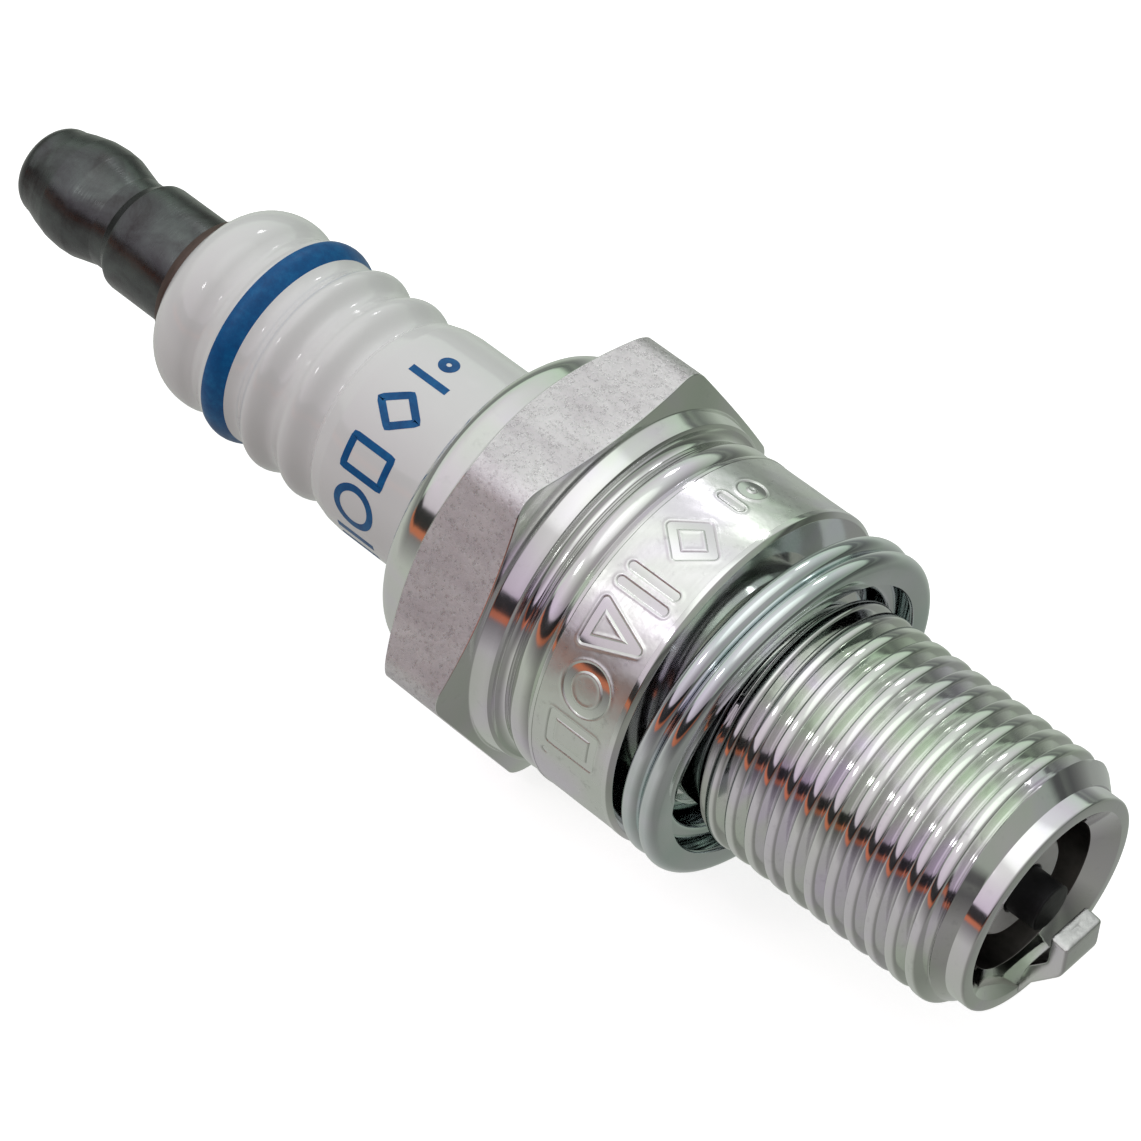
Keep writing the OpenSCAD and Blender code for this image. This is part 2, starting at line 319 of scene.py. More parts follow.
def glaze(name, colour, dark):
    """White glaze with a slow wave in it."""
    s = Nodes(name)
    wave = s.noise(90, 2.0)
    s.set(Base_Color=s.ramp(wave, (0.25, dark), (0.75, colour)), Roughness=s.vary(wave, 0.06, 0.06),
          Normal=s.bump(s.noise(420, 2.0), 0.05, 0.00005))
    s.bsdf.inputs["Coat Weight"].default_value = 0.6
    s.bsdf.inputs["Coat Roughness"].default_value = 0.04
    s.bsdf.inputs["IOR"].default_value = 1.55
    return s.mat


def blue_paint():
    s = Nodes("blue_paint")
    wear = s.noise(1100, 6.0, rough=0.75)
    ink = s.ramp(wear, (0.25, (0.004, 0.17, 0.42)), (0.5, (0.0, 0.105, 0.31)), (0.75, (0.0, 0.06, 0.21)))
    s.set(Base_Color=ink, Roughness=s.vary(wear, 0.25, 0.25), Normal=s.bump(wear, 0.35, 0.00003))
    s.bsdf.inputs["Specular IOR Level"].default_value = 0.3
    return s.mat


def dark_steel():
    s = Nodes("terminal_steel")
    grain = s.noise(1700, 6.0, rough=0.7)
    cloud = s.noise(330, 5.0, rough=0.65, distort=0.5)
    tone = s.ramp(cloud, (0.28, (0.055, 0.050, 0.050)), (0.45, (0.10, 0.105, 0.105)),
                  (0.60, (0.13, 0.145, 0.14)), (0.75, (0.125, 0.105, 0.095)))
    turn = s.noise(420, 3.0, vec=s.scaled(22, 1, 1))
    s.set(Base_Color=tone, Metallic=1.0, Roughness=s.vary(grain, 0.3, 0.14),
          Normal=s.bump(turn, 0.18, 0.00004, s.bump(grain, 0.3, 0.00003)))
    return s.mat


def simple(name, colour, metallic, rough, scale=1200, bump=0.3, vary=0.75):
    """One grainy colour; vary is how far the grain darkens it."""
    s = Nodes(name)
    g = s.noise(scale, 5.0, rough=0.65)
    low = tuple(c * vary for c in colour)
    s.set(Base_Color=s.ramp(g, (0.3, low), (0.7, colour)), Metallic=metallic,
          Roughness=s.vary(g, 0.2, rough - 0.1), Normal=s.bump(g, bump, 0.00004))
    return s.mat


ZINC = zinc("zinc_plate", 0.10, marks=0.04, speck=0.15)
ZINC_THREAD = zinc("zinc_thread", 0.08, marks=0.03, speck=0.25)
ZINC_BAND = zinc("zinc_flange", 0.30, marks=0.5, film=300, speck=0.5, vary=0.16)
ZINC_GASKET = zinc("gasket_plate", 0.08, marks=0.02, film=300, base=(0.72, 0.77, 0.77),
                   green=(0.66, 0.75, 0.73), lilac=(0.76, 0.78, 0.82), speck=0.1)
HEXFLAT = flat_face()
GLAZE = glaze("glazed_alumina", (0.86, 0.87, 0.86), (0.83, 0.845, 0.83))
NOSE = simple("bare_alumina", (0.80, 0.80, 0.79), 0.0, 0.55, 1500, 0.3, 0.94)
BLUE = blue_paint()
DARK = dark_steel()
BROWN = simple("washer_steel", (0.12, 0.085, 0.07), 0.6, 0.5, 1600, 0.4)
BORE = simple("turned_bore", (0.26, 0.24, 0.235), 1.0, 0.32, 900, 0.3, 0.6)
NICKEL = simple("nickel_alloy", (0.035, 0.035, 0.038), 0.7, 0.42, 2200, 0.5)
GROUND = zinc("ground_plate", 0.20, marks=0.25, film=280)
SHEAR = simple("sheared_end", (0.86, 0.86, 0.86), 1.0, 0.34, 2600, 0.9, 0.72)

# ---------------------------------------------------------------- shell
hex_extra = [(math.radians(60 * k - 4.5), math.radians(60 * k + 4.5), 19) for k in range(6)]
COLS = columns(300, hex_extra)


def hex_radius(t):
    """Radius of the hexagon with rounded corners at the angles t."""
    d = np.mod(t - math.pi / 2 + math.pi / 6, math.pi / 3) - math.pi / 6
    plain = HALF_AF / np.cos(d)
    dc = (HALF_AF - HEX_CORNER) / math.cos(math.pi / 6)
    beta = math.pi / 6 - np.abs(d)
    inside = np.maximum(HEX_CORNER ** 2 - (dc * np.sin(beta)) ** 2, 0)
    arc = dc * np.cos(beta) + np.sqrt(inside)
    dt = math.atan((HALF_AF - HEX_CORNER) * math.tan(math.pi / 6) / HALF_AF)
    return np.where(np.abs(d) > dt, arc, plain)


R_HEX = hex_radius(COLS)


def arc_points(cx, cr, ax, ar, a0, a1, n):
    """Points (x, r) on an ellipse quarter about (cx, cr); angles from the outward radial."""
    return [(cx + ax * math.sin(math.radians(a)), cr + ar * math.cos(math.radians(a)))
            for a in np.linspace(a0, a1, n + 1)]


BACK_CONE = 0.572
FRONT_CONE = 0.28
ring_x = HEX_FRONT + 1.15
bead_x = FLANGE_BACK - 0.92
band_in = FLANGE_R - 0.06

outer = [(COLLAR_X + 1.0, BARREL_R + 0.12), (COLLAR_X, BARREL_R + 0.12, 0.1)]
outer += arc_points(COLLAR_X + 1.35, COLLAR_R - 1.4, -1.35, 1.4, 90, 0, 12)
outer += [(HEX_BACK - 0.62, COLLAR_R + 0.06, 0.1), (HEX_BACK - 0.25, 9.15, 0.05),
          (HEX_BACK - 0.25, HEX_FACE_R, 0.05)]
i_hex0 = len(outer)
outer += [(HEX_BACK - 0.25 + (R_HEX - HEX_FACE_R) * BACK_CONE, R_HEX, 0.07)]
outer += [(HEX_FRONT - (R_HEX - HALF_AF) * FRONT_CONE, R_HEX, 0.07)]
outer += [(HEX_FRONT + 0.10, 10.02, 0.12), (ring_x - 0.28, 9.86, 0.06), (ring_x, 9.80, 0.03),
          (ring_x + 0.10, RING_R, 0.03)]
outer += arc_points(ring_x + 0.5, RING_R, 0.45, -0.55, -70, 30, 9)
outer += arc_points(bead_x, FLANGE_R - 0.6, 0.78, 0.52, -66, 68, 14)
outer += [(FLANGE_BACK - 0.06, 9.06, 0.05), (FLANGE_BACK, 9.14, 0.03), (FLANGE_BACK, FLANGE_R, 0.12)]
outer += [(FLANGE_BACK + 0.25, FLANGE_R), (FLANGE_BACK + 0.3, band_in), (-0.55, band_in), (-0.5, FLANGE_R)]
outer += [(-0.22, FLANGE_R, 0.1), (0, FLANGE_R - 0.24, 0.06), (0, NECK_R + 0.4, 0.2), (0.4, NECK_R, 0.2)]
outer += [(THREAD_IN_X - 0.2, NECK_R, 0.1), (THREAD_IN_X + 0.1, ROOT_R), (TAPER_X + 0.45, ROOT_R),
          (REACH - 1.35, ROOT_R - 0.1, 0.1), (REACH - 1.1, MOUTH_R, 0.1), (REACH - 0.02, MOUTH_R, 0.16),
          (REACH, 5.32, 0.05)]
outer += [(REACH - 0.9, MOUTH_BORE_R, 0.08)]
i_bore = len(outer)
outer += [(9.2, MOUTH_BORE_R, 0.1), (8.6, NOSE_BORE_R, 0.1), (-3.2, NOSE_BORE_R), (-5.6, HEX_BORE_R),
          (COLLAR_X + 1.9, HEX_BORE_R, 0.2)]

shell_rows, shell_tags = rows_of(outer, COLS, closed=True)


def shell_mat(i):
    """Which material a row of faces has: the hexagon's flats, the bore, or plating."""
    tag, after = shell_tags[i], shell_tags[(i + 1) % len(shell_tags)]
    if tag == i_hex0 and after == i_hex0 + 1:
        return 1
    if tag >= i_bore or tag == shell_tags[i - 1] == i_bore - 1:
        return 2
    return 0


shell = turned("shell_body", shell_rows, COLS, [ZINC, HEXFLAT, BORE], shell_mat, closed=True, sharp=32)
done(shell, "plug", "zinc_plate", "shell")


# ---------------------------------------------------------------- helical thread
def thread():
    """The crest, swept along a right-handed helix; its foot is buried in the shell's core."""
    per_turn = 180
    foot_r = ROOT_R - 0.3
    t0 = (THREAD_IN_X - 1.3 - GROOVE_X0 - PITCH / 2) / PITCH
    t1 = (REACH - 0.9 - GROOVE_X0 - PITCH / 2) / PITCH
    n = int((t1 - t0) * per_turn)
    half = [(-0.615, ROOT_R + 0.05), (-0.57, ROOT_R + 0.07), (-0.54, ROOT_R + 0.12), (-0.345, 6.78),
            (-0.31, 6.86), (-0.26, 6.915), (-0.18, CREST_R - 0.01), (0.0, CREST_R)]
    prof = half + [(-a, r) for a, r in reversed(half[:-1])]
    prof += [(0.6, foot_r), (-0.6, foot_r)]
    m = len(prof)
    verts = np.zeros((n + 1, m, 3))
    for i in range(n + 1):
        tau = t0 + (t1 - t0) * i / n
        ang = TWO_PI * tau
        xc = GROOVE_X0 + PITCH / 2 + PITCH * tau
        for j, (a, r) in enumerate(prof):
            x = xc + a
            lim = min(CREST_R + (TAPER_X - x) * 0.95, NECK_R + (x - THREAD_IN_X) * 1.25)
            rr = min(r, max(lim, foot_r))
            verts[i, j] = (x, rr * math.cos(ang), rr * math.sin(ang))
    faces = []
    for i in range(n):
        for j in range(m):
            k = (j + 1) % m
            faces.append((i * m + j, i * m + k, (i + 1) * m + k, (i + 1) * m + j))
    faces.append(tuple(range(m - 1, -1, -1)))
    faces.append(tuple(n * m + j for j in range(m)))
    return make_mesh("shell_thread", verts.reshape(-1, 3), faces, [0] * len(faces), [ZINC_THREAD], 50)


done(thread(), "plug", "zinc_plate", "shell")


# ---------------------------------------------------------------- stamped flange band
def seg_dist(s, t, a, b):
    """Distance from (s, t) to the line from a to b."""
    ax, ay = a
    bx, by = b
    dx, dy = bx - ax, by - ay
    h = np.clip(((s - ax) * dx + (t - ay) * dy) / max(dx * dx + dy * dy, 1e-9), 0, 1)
    return np.hypot(s - ax - h * dx, t - ay - h * dy)


def ring_dist(s, t, c, r):
    return np.abs(np.hypot(s - c[0], t - c[1]) - r)


def path_dist(s, t, pts):
    """Distance from (s, t) to a closed outline."""
    d = np.full(s.shape, 9.0)
    n = len(pts)
    for i in range(n):
        d = np.minimum(d, seg_dist(s, t, pts[i], pts[(i + 1) % n]))
    return d


def mark_field(s, t):
    """Distance to a row of plain stamped shapes; s runs round the flange, t along X, both in mm."""
    d = path_dist(s, t, [(-0.9, -1.3), (0.9, -1.3), (0.9, 1.3), (-0.9, 1.3)])
    d = np.minimum(d, ring_dist(s, t, (3.1, 0.0), 1.15))
    d = np.minimum(d, path_dist(s, t, [(5.2, -1.35), (7.3, -1.35), (6.25, 1.4)]))
    for k in (8.5, 9.4):
        d = np.minimum(d, seg_dist(s, t, (k, -1.35), (k, 1.35)))
    d = np.minimum(d, path_dist(s, t, [(11.0, 0), (12.1, 1.35), (13.2, 0), (12.1, -1.35)]))
    d = np.minimum(d, ring_dist(s, t, (-1.9, -1.5), 0.0))  # a dot
    d = np.minimum(d, seg_dist(s, t, (15.2, -0.9), (15.2, 0.2)))
    d = np.minimum(d, ring_dist(s, t, (16.8, -0.4), 0.5))
    return d


def flange_band():
    """The flange's outer band, with the marks pressed into it and their edges raised a little."""
    arc0 = math.radians(172)
    cols = columns(300, [(math.radians(62), math.radians(186), 620)])
    s = (arc0 - cols) * FLANGE_R
    x0, x1 = FLANGE_BACK + 0.1, -0.2
    depth, width = 0.19, 0.16
    lip, lip_at, lip_width = 0.028, 0.32, 0.10

    def plain(x, r):
        return np.array([np.full(len(cols), x), np.full(len(cols), r)])

    rows = [plain(x0, FLANGE_R - 0.25), plain(x0 + 0.02, FLANGE_R - 0.05)]
    mid = FLANGE_BACK / 2
    for x in np.linspace(x0 + 0.12, x1 - 0.12, 92):
        d = mark_field(s, np.full(len(cols), x - mid))
        groove = -depth * np.exp(-(d / width) ** 2) + lip * np.exp(-((d - lip_at) / lip_width) ** 2)
        wear = 0.004 * np.sin(cols * 37 + x * 3) * np.sin(cols * 11)
        r = FLANGE_R + groove + wear - 0.026
        rows.append(np.array([np.full(len(cols), x), r]))
    rows += [plain(x1 - 0.02, FLANGE_R - 0.05), plain(x1, FLANGE_R - 0.25)]
    return turned("shell_stamped_band", rows, cols, [ZINC_BAND], closed=True, sharp=50)


done(flange_band(), "plug", "zinc_plate", "shell")

# ---------------------------------------------------------------- insulator
ICOLS = columns(256)


def rib_rows(x0, x1, r, g, n=18):
    """Points of one rib from x0 to x1, r high in the middle and g lower at its ends."""
    t = np.linspace(-1, 1, n + 1)
    return [((x0 + x1) / 2 + v * (x1 - x0) / 2, r - g * (1 - math.cos(math.pi * v)) / 2) for v in t]


END_ROUND_X = -34.7
BAND_X0, BAND_X1 = -32.05, -30.75
RIB_EDGES = (-33.4, -30.1, -27.6, -24.6)
RIB_DEPTH = 0.6
END_R = 3.75              # the rounded end starts here
BODY_R = 7.25
NOSE_R = 4.6
STEM_BORE_R = 2.03
CE_BORE_R = 1.29
ins = [(INS_END_X + 0.001, 2.05), (INS_END_X + 0.001, 3.6, 0.1)]
ins += arc_points(END_ROUND_X, END_R, END_ROUND_X - INS_END_X, RIB_R - 0.2 - END_R, -84, 0, 16)
ins += [(-34.4, RIB_R - 0.21), (-34.15, RIB_R - 0.25), (-33.85, RIB_R - 0.36)]
for k, r in enumerate((RIB_R, RIB_R + 0.02, RIB_R)):
    ins += rib_rows(RIB_EDGES[k], RIB_EDGES[k + 1], r, RIB_DEPTH)[min(k, 1):]
ins += [(-24.2, BARREL_R - 0.3, 0.3), (-23.4, BARREL_R - 0.08, 0.5), (-22.6, BARREL_R), (-19, BARREL_R),
        (-10.7, BARREL_R), (-9.4, BODY_R, 0.2), (-5.6, BODY_R, 0.2), (-3.4, NOSE_R, 0.2), (7.3, NOSE_R, 0.2),
        (8.4, 3.62), (9.0, 3.4, 0.2), (NOSE_X - 0.2, 2.74), (NOSE_X - 0.02, 2.58, 0.08), (NOSE_X, 2.3),
        (NOSE_X, 1.36, 0.05), (NOSE_X - 0.5, CE_BORE_R)]
ins += [(4.0, CE_BORE_R), (3.2, STEM_BORE_R), (INS_END_X + 0.3, STEM_BORE_R)]
irows, _ = rows_of(ins, ICOLS, closed=True)
# rows exactly at the painted band's edges
out_rows = []
for i, r in enumerate(irows):
    out_rows.append(r)
    nx = irows[(i + 1) % len(irows)]
    x_a, x_b = float(r[0][0]), float(nx[0][0])
    if x_b > x_a and float(r[1][0]) > 5:
        for e in (BAND_X0, BAND_X1):
            if x_a < e - 1e-3 and x_b > e + 1e-3:
                k = (e - x_a) / (x_b - x_a)
                out_rows.append(r + (nx - r) * k)
irows = out_rows


def ins_mat(i):
    """Which material a row of faces has: the blue band, the bare nose, or glaze."""
    x = float(irows[i][0][0])
    nx = float(irows[(i + 1) % len(irows)][0][0])
    r = float(irows[i][1][0])
    if r > 5 and BAND_X0 - 1e-3 <= x and nx <= BAND_X1 + 1e-3 and nx > x:
        return 1
    return 2 if x > 8 or nx > 8.9 else 0


insulator = turned("insulator_body", irows, ICOLS, [GLAZE, BLUE, NOSE], ins_mat, closed=True, sharp=45)
done(insulator, "plug", "glazed_alumina", "insulator")


# printed marks: thin strips of paint lying on the barrel
INK_A0 = math.radians(196)
INK_X = -20.9
INK_H = 2.5


def ink_marks():
    """Plain shapes painted round the barrel."""
    verts, faces = [], []
    r0, r1 = BARREL_R + 0.002, BARREL_R + 0.012

    def put(s, x, r):
        a = INK_A0 - s / BARREL_R
        verts.append((x, r * math.cos(a), r * math.sin(a)))
        return len(verts) - 1

    def strip(path, w, closed=False):
        """A painted line of width w along a path of (s, x) points."""
        pts = [np.array(p, float) for p in path]
        fine = []
        m = len(pts)
        for i in range(m if closed else m - 1):
            a, b = pts[i], pts[(i + 1) % m]
            k = max(1, int(np.linalg.norm(b - a) / 0.12))
            fine += [a + (b - a) * j / k for j in range(k)]
        if not closed:
            fine.append(pts[-1])
        n = len(fine)
        ids = []
        for i in range(n):
            a = fine[i - 1] if (closed or i > 0) else fine[0]
            b = fine[(i + 1) % n] if (closed or i < n - 1) else fine[-1]
            d = b - a
            d /= np.linalg.norm(d)
            nn = np.array([-d[1], d[0]]) * w / 2
            p, q = fine[i] + nn, fine[i] - nn
            ids.append([put(*p, r0), put(*p, r1), put(*q, r1), put(*q, r0)])
        for i in range(n if closed else n - 1):
            a, b = ids[i], ids[(i + 1) % n]
            for j in range(4):
                k = (j + 1) % 4
                faces.append((a[j], b[j], b[k], a[k]))
        if not closed:
            faces.append(tuple(ids[0]))
            faces.append(tuple(reversed(ids[-1])))

    def circle(cs, cx, r, n=36):
        return [(cs + r * math.cos(TWO_PI * i / n), cx + r * math.sin(TWO_PI * i / n)) for i in range(n)]

    w, h = 0.42, INK_H / 2
    c = INK_X
    strip([(-1.0, c - h), (-1.0, c + h)], w)
    strip([(0.1, c - h), (0.1, c + h)], w)
    strip(circle(2.3, c, h - 0.1), w, True)
    strip([(4.3, c - h), (4.3, c + h), (6.0, c + h), (6.0, c - h)], w, True)
    strip([(7.2, c), (8.2, c + h), (9.2, c), (8.2, c - h)], w, True)
    strip([(10.4, c - h), (10.4, c + h)], w)
    strip(circle(11.8, c, 0.35), w, True)
    return make_mesh("insulator_marks", np.array(verts), faces, [0] * len(faces), [BLUE], 40)


done(ink_marks(), "plug", "glazed_alumina", "insulator")

# ---------------------------------------------------------------- terminal stud
T = TIP_X
term = [(T, 0.0), (T, 1.05, 0.12)]
term += arc_points(T + 1.28, 1.3, 1.23, 1.3, -84, 0, 10)
term += [(T + 2.1, 2.86, 0.9), (T + 3.1, HEAD_R - 0.07, 0.9), (T + 4.0, HEAD_R),
         (T + 4.75, HEAD_R - 0.04, 0.8), (T + 5.9, 2.84, 0.6), (T + 6.45, WAIST_R, 0.4),
         (T + 7.35, WAIST_R, 0.08), (T + 8.0, HEAD_R - 0.04, 0.08), (T + 8.25, HEAD_R),
         (INS_END_X - 1.0, HEAD_R, 0.04), (INS_END_X - 0.96, 3.05, 0.04)]
i_w = len(term)
term += [(INS_END_X - 0.9, 3.1, 0.04), (INS_END_X - 0.85, WASHER_R - 0.1, 0.08),
         (INS_END_X - 0.5, WASHER_R, 0.1), (INS_END_X - 0.02, WASHER_R - 0.08, 0.05),
         (INS_END_X - 0.01, STEM_R), (-10.6, STEM_R), (-10.0, 1.5), (-10.0, 0.0)]
trows, ttags = rows_of(term, ICOLS)
stud = turned("terminal_head", trows, ICOLS, [DARK, BROWN], lambda i: int(ttags[i] >= i_w - 1), sharp=40)
done(stud, "plug", "terminal_steel", "terminal_stud")

# ---------------------------------------------------------------- gasket
G_X, G_R, G_FOLD, G_SHEET = 2.15, 9.6, 0.58, 0.32
LEAN = (math.tan(math.radians(2.85)), math.tan(math.radians(3.15)))
lean_deg = math.atan(math.hypot(*LEAN))
ROT = Matrix.Rotation(lean_deg, 3, Vector((0, LEAN[1], -LEAN[0])))


def gasket():
    """Folded sheet: path is the sheet's middle, from the back leaf's inner edge to the front lobe."""
    f_r = G_R - G_FOLD
    mid = G_FOLD - G_SHEET / 2
    path = [(-2 * mid - G_SHEET / 2, 6.62), (-2 * mid - G_SHEET / 2, 7.4), (-2 * mid - G_SHEET / 2, f_r)]
    path += [(-G_FOLD - mid * math.cos(a), f_r + mid * math.sin(a)) for a in np.linspace(0, math.pi, 15)[1:]]
    path += [(-G_SHEET / 2, 8.3), (-G_SHEET / 2, 7.56)]
    path += [(-G_SHEET / 2 * math.cos(a), 7.56 - G_SHEET / 2 * math.sin(a))
             for a in np.linspace(0, math.pi, 9)[1:]]
    path += [(G_SHEET / 2, 8.3), (G_SHEET / 2, f_r)]
    path += [(G_FOLD - mid * math.cos(a), f_r + mid * math.sin(a)) for a in np.linspace(0, math.pi, 17)[1:]]
    path += [(2 * mid + G_SHEET / 2, 8.55), (2 * mid + G_SHEET / 2 - 0.03, 8.14)]
    p = np.array(path)
    d = np.gradient(p, axis=0)
    d /= np.linalg.norm(d, axis=1)[:, None]
    nrm = np.stack([-d[:, 1], d[:, 0]], 1) * (G_SHEET / 2 - 0.004)
    a, b = p + nrm, p - nrm
    e0 = p[0] - d[0] * 0.02
    e1 = p[-1] + d[-1] * 0.05
    loop = [*a, e1 + nrm[-1] * 0.5, e1 - nrm[-1] * 0.5, *b[::-1], e0 - nrm[0] * 0.6, e0 + nrm[0] * 0.6]
    cols = columns(300)
    wob = 0.012 * np.sin(3 * cols + 0.7) + 0.006 * np.sin(7 * cols)
    rows = [np.array([q[0] + wob * (q[1] < 8.6), np.full(len(cols), q[1])]) for q in loop]
    rows = rows[::-1]
    return turned("gasket_ring", rows, cols, [ZINC_GASKET], closed=True, tilt=(ROT, (G_X, 0, 0)), sharp=45)


done(gasket(), "gasket", "gasket_plate", "gasket")

# ---------------------------------------------------------------- centre electrode
ce = [(2.0, 0.0), (2.0, 1.97), (3.17, 1.97), (3.95, CE_R), (NOSE_X, CE_R), (CE_TOP_X - 0.02, CE_R, 0.07),
      (CE_TOP_X, CE_R - 0.16, 0.05), (CE_TOP_X, 0.0)]
ccols = columns(128)
tip = turned("centre_electrode_tip", rows_of(ce, ccols)[0], ccols, [NICKEL], sharp=40)
done(tip, "plug", "nickel_alloy", "centre_electrode")


# ---------------------------------------------------------------- ground electrode
def ground():
    """The bar: a foot on the shell's rim, a leaning leg, a bend and a sheared end over the gap."""
    x1, end_z = GE_HI[0], GE_HI[2] - 0.13
    th, bend, bz, lean = 1.0, 1.6, -1.75, math.radians(52)
    w, yc = GE_HI[1] - GE_LO[1], (GE_HI[1] + GE_LO[1]) / 2
    bx, foot, foot_z = x1 - bend, 0.35, GE_LO[2] + 0.01

    def on_leg(r, x):
        ax, az = bx + r * math.sin(lean), bz - r * math.cos(lean)
        return az - (ax - x) * math.tan(lean)

    def side(r, z_end, z_foot):
        """One side of the bar as (x, z): foot, leaning leg, bend, straight end."""
        p = [(REACH, z_foot), (REACH + 0.12, z_foot * 0.55 + on_leg(r, REACH + foot) * 0.45),
             (REACH + foot, on_leg(r, REACH + foot))]
        x_a = bx + r * math.sin(lean)
        p += [(x, on_leg(r, x)) for x in np.linspace(REACH + foot, x_a, 8)[1:-1]]
        p += [(bx + r * math.cos(a), bz + r * math.sin(a)) for a in np.linspace(lean - math.pi / 2, 0, 14)]
        p += [(bx + r, z) for z in np.linspace(bz, z_end, 7)[1:]]
        return np.array(p)

    outer_side = side(bend, end_z - 0.1, foot_z)
    inner_side = side(bend - th, end_z + 0.1, foot_z + 1.4)
    n_c, bev = 6, 0.17
    verts, faces, ids = [], [], []
    n_side = len(outer_side)
    m = 4 * (n_c + 1)
    for i in range(n_side):
        mid = (outer_side[i] + inner_side[i]) / 2
        half = (outer_side[i] - inner_side[i]) / 2
        h = np.hypot(*half)
        u = half / h
        for sx, sy in ((1, 1), (-1, 1), (-1, -1), (1, -1)):
            base = math.atan2(sy, sx) - math.pi / 4
            for k in range(n_c + 1):
                a = base + math.pi / 2 * k / n_c
                q = mid + u * (sx * (h - bev) + bev * math.cos(a))
                verts.append((q[0], yc + sy * (w / 2 - bev) + bev * math.sin(a), q[1]))
    for i in range(n_side - 1):
        for j in range(m):
            k = (j + 1) % m
            faces.append((i * m + j, (i + 1) * m + j, (i + 1) * m + k, i * m + k))
            ids.append(0)
    # sheared end: shrinking rings up to a slightly domed, torn face
    prev = (n_side - 1) * m
    ring = np.array(verts[prev:prev + m])
    mid = ring.mean(0)
    for shrink, up in ((0.985, 0.05), (0.95, 0.09), (0.88, 0.115), (0.70, 0.13), (0.45, 0.125), (0.2, 0.11)):
        start = len(verts)
        for j, q in enumerate(ring):
            v = mid + (q - mid) * shrink
            torn = 0.02 * math.sin(9 * v[0] + 5 * v[1]) * math.sin(7 * v[1]) * (shrink < 0.97)
            verts.append((v[0], v[1], v[2] + up + torn))
        for j in range(m):
            k = (j + 1) % m
            faces.append((prev + j, start + j, start + k, prev + k))
            ids.append(1)
        prev = start
    faces.append(tuple(prev + j for j in range(m)))
    ids.append(1)
    faces.append(tuple(range(m - 1, -1, -1)))
    ids.append(0)
    return make_mesh("ground_electrode_bar", np.array(verts), faces, ids, [GROUND, SHEAR], 40)


done(ground(), "plug", "ground_plate", "ground_electrode")

# hidden pieces keep their CAD shape and get worked materials
hidden = {
    "upper_glass_seal": simple("seal_glass", (0.08, 0.075, 0.075), 0.0, 0.4),
    "lower_glass_seal": simple("seal_glass_low", (0.08, 0.075, 0.075), 0.0, 0.4),
    "resistor": simple("resistor_body", (0.15, 0.10, 0.07), 0.0, 0.7),
    "centre_electrode_core": simple("copper_core", (0.75, 0.38, 0.24), 1.0, 0.3),
    "upper_packing_ring": simple("ring_steel", (0.5, 0.5, 0.5), 1.0, 0.4),
    "lower_packing_ring": simple("ring_steel_low", (0.5, 0.5, 0.5), 1.0, 0.4),
    "inner_gasket": simple("seat_ring_steel", (0.5, 0.5, 0.48), 1.0, 0.4),
    "talc_filling": simple("talc", (0.8, 0.79, 0.75), 0.0, 0.9),
}
for node, mat in hidden.items():
    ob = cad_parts[node]
    ob = ob if isinstance(ob, bpy.types.Object) else bpy.data.objects[node]
    if ob.material_slots:
        for s in ob.material_slots:
            s.material = mat
    else:
        ob.data.materials.append(mat)

# ---------------------------------------------------------------- camera
AZ, EL, ROLL = math.radians(41.7), math.radians(48.92), math.radians(2.79)
AIM_X, DIST = -8.616, 215.55
OFF_RIGHT, OFF_UP = -2.195, 0.74
SENSOR, LENS = 36, 138.5
back = Vector((math.sin(AZ) * math.cos(EL), -math.cos(AZ) * math.cos(EL), math.sin(EL)))
right = Vector((math.cos(AZ), math.sin(AZ), 0))
up = back.cross(right)
r2 = right * math.cos(ROLL) + up * math.sin(ROLL)
u2 = up * math.cos(ROLL) - right * math.sin(ROLL)
cam = bpy.data.cameras.new("camera")
cam_ob = bpy.data.objects.new("camera", cam)
bpy.context.scene.collection.objects.link(cam_ob)
loc = (Vector((AIM_X, 0, 0)) + r2 * OFF_RIGHT + u2 * OFF_UP + back * DIST) * MM
m = Matrix((r2, u2, back)).transposed().to_4x4()
m.translation = loc
cam_ob.matrix_world = m
cam.sensor_width = SENSOR
cam.sensor_fit = "HORIZONTAL"
cam.lens = LENS
cam.clip_start = 0.01
cam.clip_end = 20
cam.dof.use_dof = False
bpy.context.scene.camera = cam_ob

# ---------------------------------------------------------------- floor, light
floor_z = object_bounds()[0][2] - 0.0003
bpy.ops.mesh.primitive_plane_add(size=3.0, location=(0, 0, floor_z))
floor = bpy.context.object
floor.name = "floor"
fs = Nodes("floor_white")
fs.set(Base_Color=fs.ramp(fs.noise(8), (0.3, (0.84, 0.84, 0.84)), (0.7, (0.87, 0.87, 0.87))), Roughness=0.9,
       Emission_Color=(1.0, 1.0, 1.0), Emission_Strength=0.72)
floor.data.materials.append(fs.mat)
floor.visible_glossy = False
floor.visible_diffuse = False

world = bpy.data.worlds.new("studio")
bpy.context.scene.world = world
world.use_nodes = True
wt = world.node_tree
wt.nodes.clear()
wo = wt.nodes.new("ShaderNodeOutputWorld")
bg = wt.nodes.new("ShaderNodeBackground")
tc = wt.nodes.new("ShaderNodeTexCoord")
sep = wt.nodes.new("ShaderNodeSeparateXYZ")
wt.links.new(tc.outputs["Generated"], sep.inputs[0])


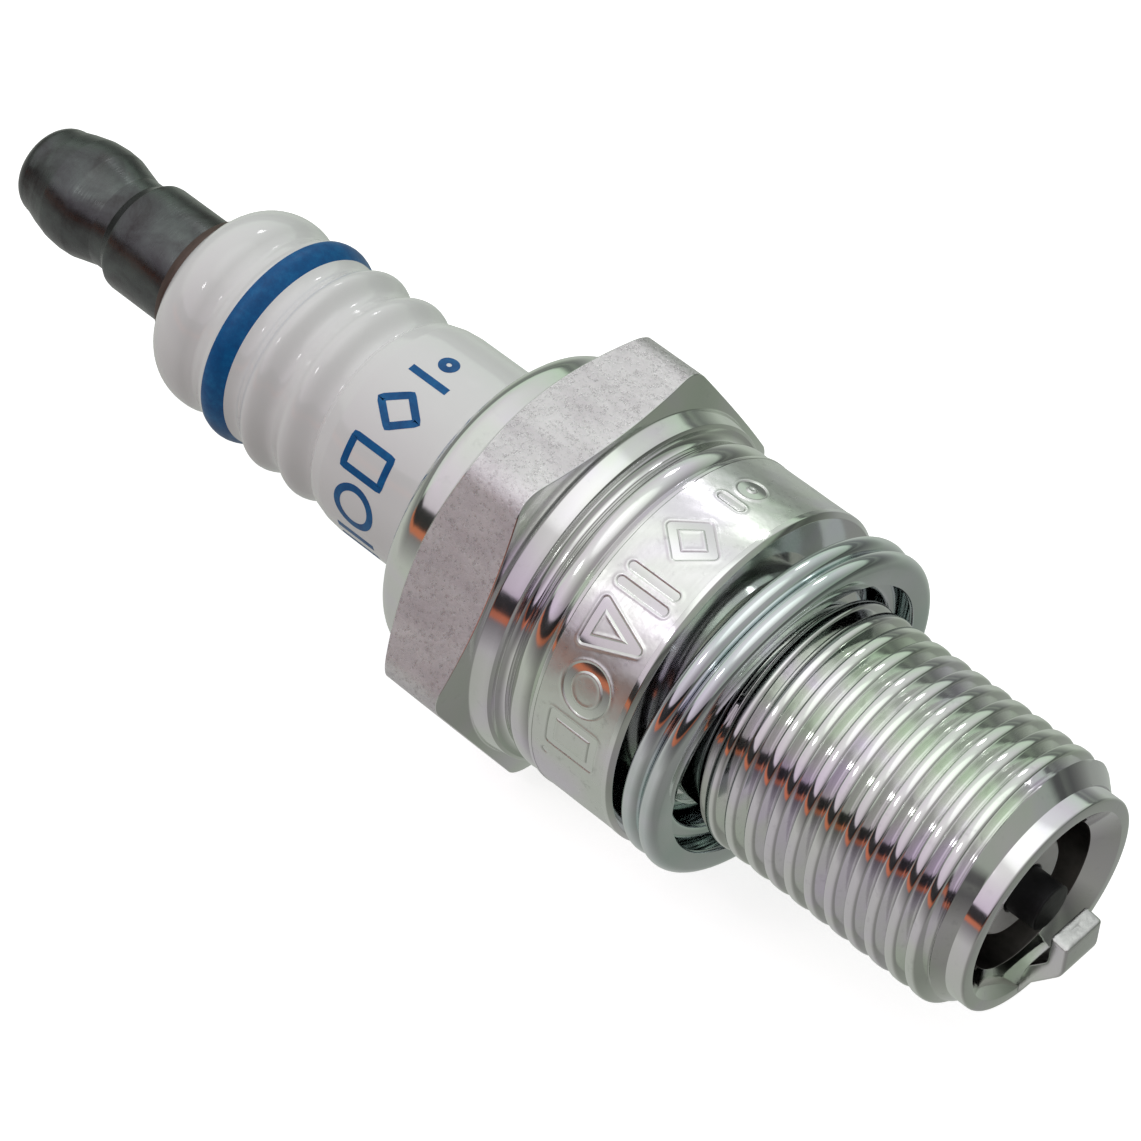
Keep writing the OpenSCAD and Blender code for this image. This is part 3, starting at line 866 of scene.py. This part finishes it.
def room_ramp(source, stops, scale=0.5):
    """Colour by one direction component, given as (component, colour) stops."""
    mp = wt.nodes.new("ShaderNodeMath")
    mp.operation = "MULTIPLY_ADD"
    mp.inputs[1].default_value = scale
    mp.inputs[2].default_value = 0.5
    wt.links.new(source, mp.inputs[0])
    n = wt.nodes.new("ShaderNodeValToRGB")
    wt.links.new(mp.outputs[0], n.inputs["Fac"])
    while len(n.color_ramp.elements) < len(stops):
        n.color_ramp.elements.new(0.5)
    for e, (v, c) in zip(n.color_ramp.elements, stops):
        e.position = 0.5 + scale * v
        e.color = (*c, 1)
    return n.outputs["Color"]


def room_mix(kind, fac, a, b):
    """Two colours of the room mixed or multiplied; fac is a number or a socket."""
    n = wt.nodes.new("ShaderNodeMix")
    n.data_type = "RGBA"
    n.blend_type = kind
    if isinstance(fac, bpy.types.NodeSocket):
        wt.links.new(fac, n.inputs[0])
    else:
        n.inputs[0].default_value = fac
    wt.links.new(a, n.inputs[6])
    wt.links.new(b, n.inputs[7])
    return n.outputs[2]


ORANGE, BLACK, DIM = (0.52, 0.17, 0.09), (0.03, 0.03, 0.03), (0.16, 0.16, 0.16)
LOW = [(-1.0, (0.42, 0.42, 0.41)), (-0.30, (0.47, 0.48, 0.45)), (-0.08, (0.27, 0.27, 0.26)),
       (0.03, (0.18, 0.18, 0.18))]
HIGH = [(0.60, (0.70, 0.65, 0.70)), (0.86, (0.80, 0.79, 0.80)), (0.905, (1.15, 1.16, 1.15)),
        (1.0, (1.3, 1.3, 1.3))]
front = room_ramp(sep.outputs["Z"], LOW + [(0.055, ORANGE), (0.115, ORANGE), (0.135, BLACK), (0.31, BLACK),
                                           (0.335, (0.62, 0.55, 0.62))] + HIGH)
sides = room_ramp(sep.outputs["Z"], LOW + [(0.12, (0.26, 0.27, 0.25)), (0.15, DIM), (0.21, DIM),
                                           (0.28, (0.60, 0.66, 0.59))] + HIGH)
where = room_ramp(sep.outputs["Y"], [(-1.0, (1, 1, 1)), (-0.62, (1, 1, 1)), (-0.55, (0, 0, 0)),
                                     (1.0, (0, 0, 0))])
blend = room_mix("MIX", where, sides, front)
tint = room_ramp(sep.outputs["Y"], [(-1.0, (1.0, 0.97, 1.0)), (0.0, (1.0, 1.0, 1.0)),
                                    (0.7, (0.93, 1.0, 0.94))])
room = room_mix("MULTIPLY", 1.0, blend, tint)
# the room is darker beyond the firing end
end_tint = room_ramp(sep.outputs["X"], [(-1.0, (1.0, 1.0, 1.0)), (-0.25, (0.97, 0.97, 0.97)),
                                        (0.1, (0.74, 0.74, 0.73)), (0.5, (0.48, 0.48, 0.47)),
                                        (1.0, (0.52, 0.52, 0.51))])
wt.links.new(room_mix("MULTIPLY", 1.0, room, end_tint), bg.inputs["Color"])
bg.inputs["Strength"].default_value = 1.12
wt.links.new(bg.outputs[0], wo.inputs["Surface"])


def area(name, loc, size, size_y, energy):
    """A rectangular lamp that faces the origin."""
    li = bpy.data.lights.new(name, "AREA")
    li.energy = energy
    li.shape = "RECTANGLE"
    li.size = size
    li.size_y = size_y
    ob = bpy.data.objects.new(name, li)
    bpy.context.scene.collection.objects.link(ob)
    ob.location = loc
    ob.rotation_euler = (-Vector(loc)).to_track_quat("-Z", "Y").to_euler()


area("softbox_front", (-0.16, -0.26, 0.34), 0.05, 0.04, 0.05)
area("softbox_back", (-0.20, 0.30, 0.30), 0.06, 0.05, 0.06)

bpy.context.scene.view_settings.view_transform = "Standard"
bpy.context.scene.view_settings.look = "None"
